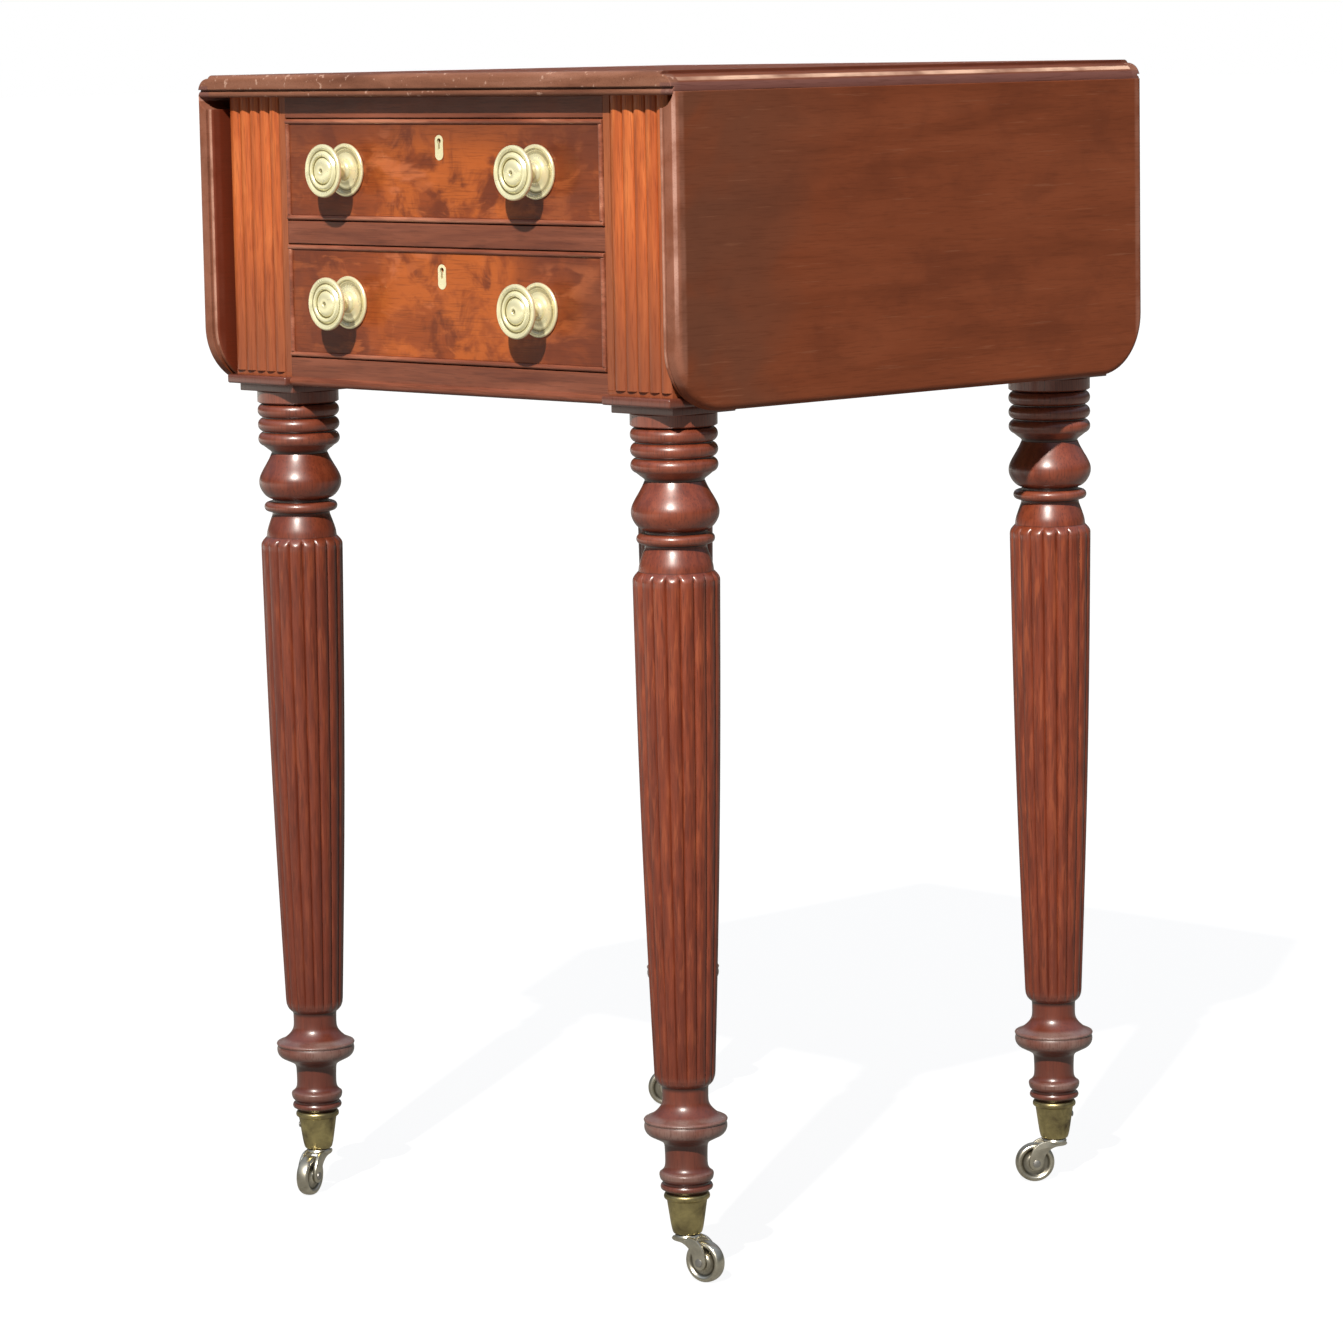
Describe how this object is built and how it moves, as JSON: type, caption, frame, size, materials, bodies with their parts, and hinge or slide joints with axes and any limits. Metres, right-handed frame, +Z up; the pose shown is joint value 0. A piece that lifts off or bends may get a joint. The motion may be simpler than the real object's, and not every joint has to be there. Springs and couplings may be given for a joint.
{
  "type": "drop-leaf sewing table",
  "caption": "Small table with leaves that hang from rule joints, drawers with round brass knobs, turned and reeded legs, and swivelling brass casters.",
  "frame": {"origin": "on the floor, at the middle of the bounding box with the leaves down and the drawers shut", "axes": "+Z up, front with the drawers towards -Y, +X to the right as seen from the front"},
  "size_m": [0.431, 0.424, 0.722],
  "materials": {
    "mahogany_top": "polished, dark reddish brown, straight grain",
    "mahogany_leaf": "polished, faded brown, straight grain along the hinge",
    "mahogany_leg": "french polished, dark red brown",
    "mahogany_carcass": "polished, pinkish brown",
    "mahogany_drawer": "polished flame veneer, orange brown",
    "cockbead": "polished, light pinkish brown",
    "lining_wood": "bare, planed",
    "tray_wood": "thin bare wood",
    "polished_brass": "polished, pale gold",
    "aged_brass": "dull, toned olive brown",
    "caster_metal": "worn, pale and greyish",
    "steel": "plain"
  },
  "bodies": {
    "carcass": {"top_panel": "mahogany_top", "leg_front_left": "mahogany_leg", "leg_front_right": "mahogany_leg", "leg_back_left": "mahogany_leg", "leg_back_right": "mahogany_leg", "side_panels": "mahogany_carcass", "back_panel": "mahogany_carcass", "top_rail": "mahogany_carcass", "middle_rail": "mahogany_carcass", "bottom_rail": "mahogany_carcass", "drawer_runners": "lining_wood", "drawer_stops": "lining_wood", "top_cleats": "lining_wood", "top_screws": "steel", "top_hinge_plates": "aged_brass", "leaf_hinge_pins": "steel", "top_hinge_screws": "steel", "bracket_pins": "steel", "caster_cups": "aged_brass"},
    "left_leaf": {"leaf_left": "mahogany_leaf", "leaf_left_hinges": "aged_brass", "leaf_left_screws": "steel"},
    "right_leaf": {"leaf_right": "mahogany_leaf", "leaf_right_hinges": "aged_brass", "leaf_right_screws": "steel"},
    "upper_drawer": {"upper_front": "mahogany_drawer", "upper_sides": "lining_wood", "upper_back": "lining_wood", "upper_bottom": "lining_wood", "upper_cockbead": "cockbead", "upper_knobs": "polished_brass", "upper_roses": "polished_brass", "upper_nuts": "aged_brass", "upper_escutcheon": "polished_brass", "upper_lock": "aged_brass", "upper_tray": "tray_wood"},
    "lower_drawer": {"lower_front": "mahogany_drawer", "lower_sides": "lining_wood", "lower_back": "lining_wood", "lower_bottom": "lining_wood", "lower_cockbead": "cockbead", "lower_knobs": "polished_brass", "lower_roses": "polished_brass", "lower_nuts": "aged_brass", "lower_escutcheon": "polished_brass", "lower_lock": "aged_brass"},
    "left_bracket": {"bracket_left": "lining_wood"},
    "right_bracket": {"bracket_right": "lining_wood"},
    "caster_front_left": {"fork_front_left": "caster_metal", "axle_front_left": "steel"},
    "wheel_front_left": {"wheel_front_left": "caster_metal"},
    "caster_front_right": {"fork_front_right": "caster_metal", "axle_front_right": "steel"},
    "wheel_front_right": {"wheel_front_right": "caster_metal"},
    "caster_back_left": {"fork_back_left": "caster_metal", "axle_back_left": "steel"},
    "wheel_back_left": {"wheel_back_left": "caster_metal"},
    "caster_back_right": {"fork_back_right": "caster_metal", "axle_back_right": "steel"},
    "wheel_back_right": {"wheel_back_right": "caster_metal"}
  },
  "joints": [
    {"name": "leaf_left_hinge", "type": "hinge", "parent": "carcass", "child": "left_leaf", "pos_m": [-0.204, 0.0045, 0.7105], "axis": [0, 1, 0], "range_deg": [0, 90]},
    {"name": "leaf_right_hinge", "type": "hinge", "parent": "carcass", "child": "right_leaf", "pos_m": [0.204, 0.0045, 0.7105], "axis": [0, -1, 0], "range_deg": [0, 90]},
    {"name": "upper_drawer_slide", "type": "slide", "parent": "carcass", "child": "upper_drawer", "axis": [0, -1, 0], "range_m": [0, 0.25]},
    {"name": "lower_drawer_slide", "type": "slide", "parent": "carcass", "child": "lower_drawer", "axis": [0, -1, 0], "range_m": [0, 0.25]},
    {"name": "bracket_left_swing", "type": "hinge", "parent": "carcass", "child": "left_bracket", "pos_m": [-0.191, 0.0525, 0.69], "axis": [0, 0, -1], "range_deg": [0, 2]},
    {"name": "bracket_right_swing", "type": "hinge", "parent": "carcass", "child": "right_bracket", "pos_m": [0.191, 0.0525, 0.69], "axis": [0, 0, 1], "range_deg": [0, 2]},
    {"name": "caster_front_left_swivel", "type": "hinge", "parent": "carcass", "child": "caster_front_left", "pos_m": [-0.1705, -0.1635, 0.028], "axis": [0, 0, 1], "continuous": true},
    {"name": "caster_front_left_roll", "type": "hinge", "parent": "caster_front_left", "child": "wheel_front_left", "pos_m": [-0.16563, -0.17555, 0.0127], "axis": [0.9272, 0.3746, 0], "continuous": true},
    {"name": "caster_front_right_swivel", "type": "hinge", "parent": "carcass", "child": "caster_front_right", "pos_m": [0.1705, -0.1635, 0.028], "axis": [0, 0, 1], "continuous": true},
    {"name": "caster_front_right_roll", "type": "hinge", "parent": "caster_front_right", "child": "wheel_front_right", "pos_m": [0.18337, -0.16169, 0.0127], "axis": [-0.1392, 0.9903, 0], "continuous": true},
    {"name": "caster_back_left_swivel", "type": "hinge", "parent": "carcass", "child": "caster_back_left", "pos_m": [-0.1705, 0.1725, 0.028], "axis": [0, 0, 1], "continuous": true},
    {"name": "caster_back_left_roll", "type": "hinge", "parent": "caster_back_left", "child": "wheel_back_left", "pos_m": [-0.17953, 0.16315, 0.0127], "axis": [0.7193, -0.6947, 0], "continuous": true},
    {"name": "caster_back_right_swivel", "type": "hinge", "parent": "carcass", "child": "caster_back_right", "pos_m": [0.1705, 0.1725, 0.028], "axis": [0, 0, 1], "continuous": true},
    {"name": "caster_back_right_roll", "type": "hinge", "parent": "caster_back_right", "child": "wheel_back_right", "pos_m": [0.1625, 0.16226, 0.0127], "axis": [0.788, -0.6157, 0], "continuous": true}
  ]
}
